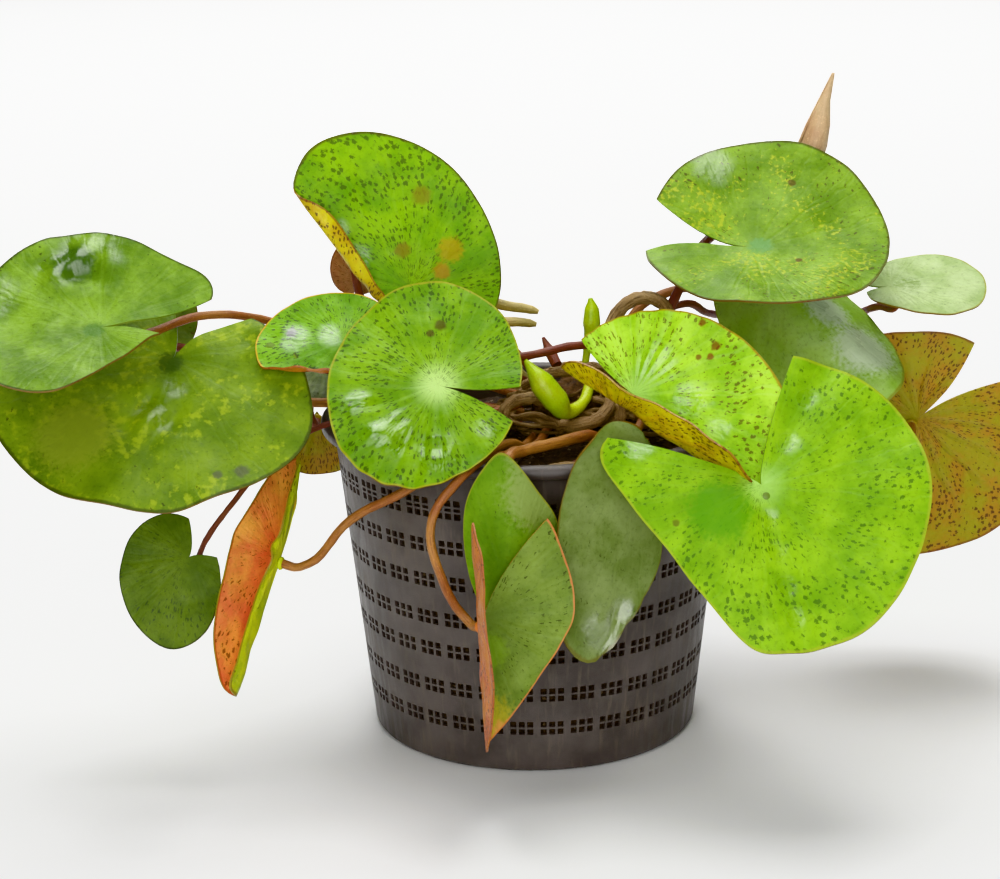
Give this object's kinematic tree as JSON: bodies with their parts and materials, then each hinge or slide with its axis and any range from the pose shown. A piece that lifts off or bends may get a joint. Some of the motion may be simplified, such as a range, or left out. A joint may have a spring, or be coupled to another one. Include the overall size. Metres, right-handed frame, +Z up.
{
  "type": "potted dwarf water lily",
  "caption": "Dwarf water lily with round notched pads, some curled, folded or hanging, on long arching stalks over a round dark mesh aquatic basket full of soil.",
  "frame": {"origin": "middle of the flat underside of the basket, where it rests", "axes": "+Z up the basket's axis, +X to the right and -Y to the front as pictured"},
  "size_m": [0.481, 0.2567, 0.2862],
  "materials": {
    "basket_plastic": "satin",
    "soil": "matte",
    "rhizome": "matte",
    "pad_green": "gloss",
    "pad_bright": "gloss",
    "pad_grey": "gloss",
    "pad_under": "satin",
    "young_leaf": "satin",
    "rolled_leaf": "satin",
    "stalk_red": "satin",
    "stalk_brown": "satin",
    "root": "matte"
  },
  "bodies": {
    "root": {"basket": "basket_plastic", "soil": "soil", "rhizome": "rhizome", "pad_left_upper": "pad_green", "pad_left_large": "pad_green", "pad_left_small": "pad_bright", "pad_front_centre": "pad_bright", "pad_top_left": "pad_bright", "pad_left_curled": "pad_under", "pad_right_upper": "pad_green", "pad_right_middle": "pad_green", "pad_right_front": "pad_bright", "pad_folded": "pad_bright", "pad_right_back": "pad_under", "pad_right_small": "pad_green", "pad_left_low": "pad_green", "pad_left_hanging": "pad_under", "pad_left_rim": "pad_under", "pad_left_shaded": "pad_grey", "pad_left_behind": "pad_under", "pad_front_folded": "pad_green", "pad_front_inner": "pad_bright", "pad_front_grey": "pad_grey", "stalk_left_upper": "stalk_brown", "stalk_left_large": "stalk_brown", "stalk_left_small": "stalk_red", "stalk_front_centre": "stalk_brown", "stalk_top_left": "stalk_brown", "stalk_left_curled": "stalk_red", "stalk_right_upper": "stalk_brown", "stalk_right_middle": "stalk_brown", "stalk_right_front": "stalk_brown", "stalk_folded": "stalk_red", "stalk_right_back": "stalk_brown", "stalk_right_small": "stalk_red", "stalk_left_low": "stalk_red", "stalk_left_hanging": "stalk_brown", "stalk_left_rim": "stalk_red", "stalk_left_shaded": "stalk_brown", "stalk_left_behind": "stalk_red", "stalk_front_folded": "stalk_brown", "stalk_front_inner": "stalk_brown", "stalk_front_grey": "stalk_brown", "rolled_leaf_tall": "rolled_leaf", "stalk_rolled_tall": "stalk_red", "young_leaf_front": "young_leaf", "bud_small": "young_leaf", "rolled_leaf_back_upper": "rolled_leaf", "rolled_leaf_back_lower": "rolled_leaf", "sheath_tip": "stalk_red", "root_loop_left": "root", "root_loop_front": "root", "root_front_rim": "root", "root_red": "stalk_red", "root_top_front": "root", "root_top_back": "root", "root_upright": "root", "root_arch": "root"}
  },
  "joints": []
}
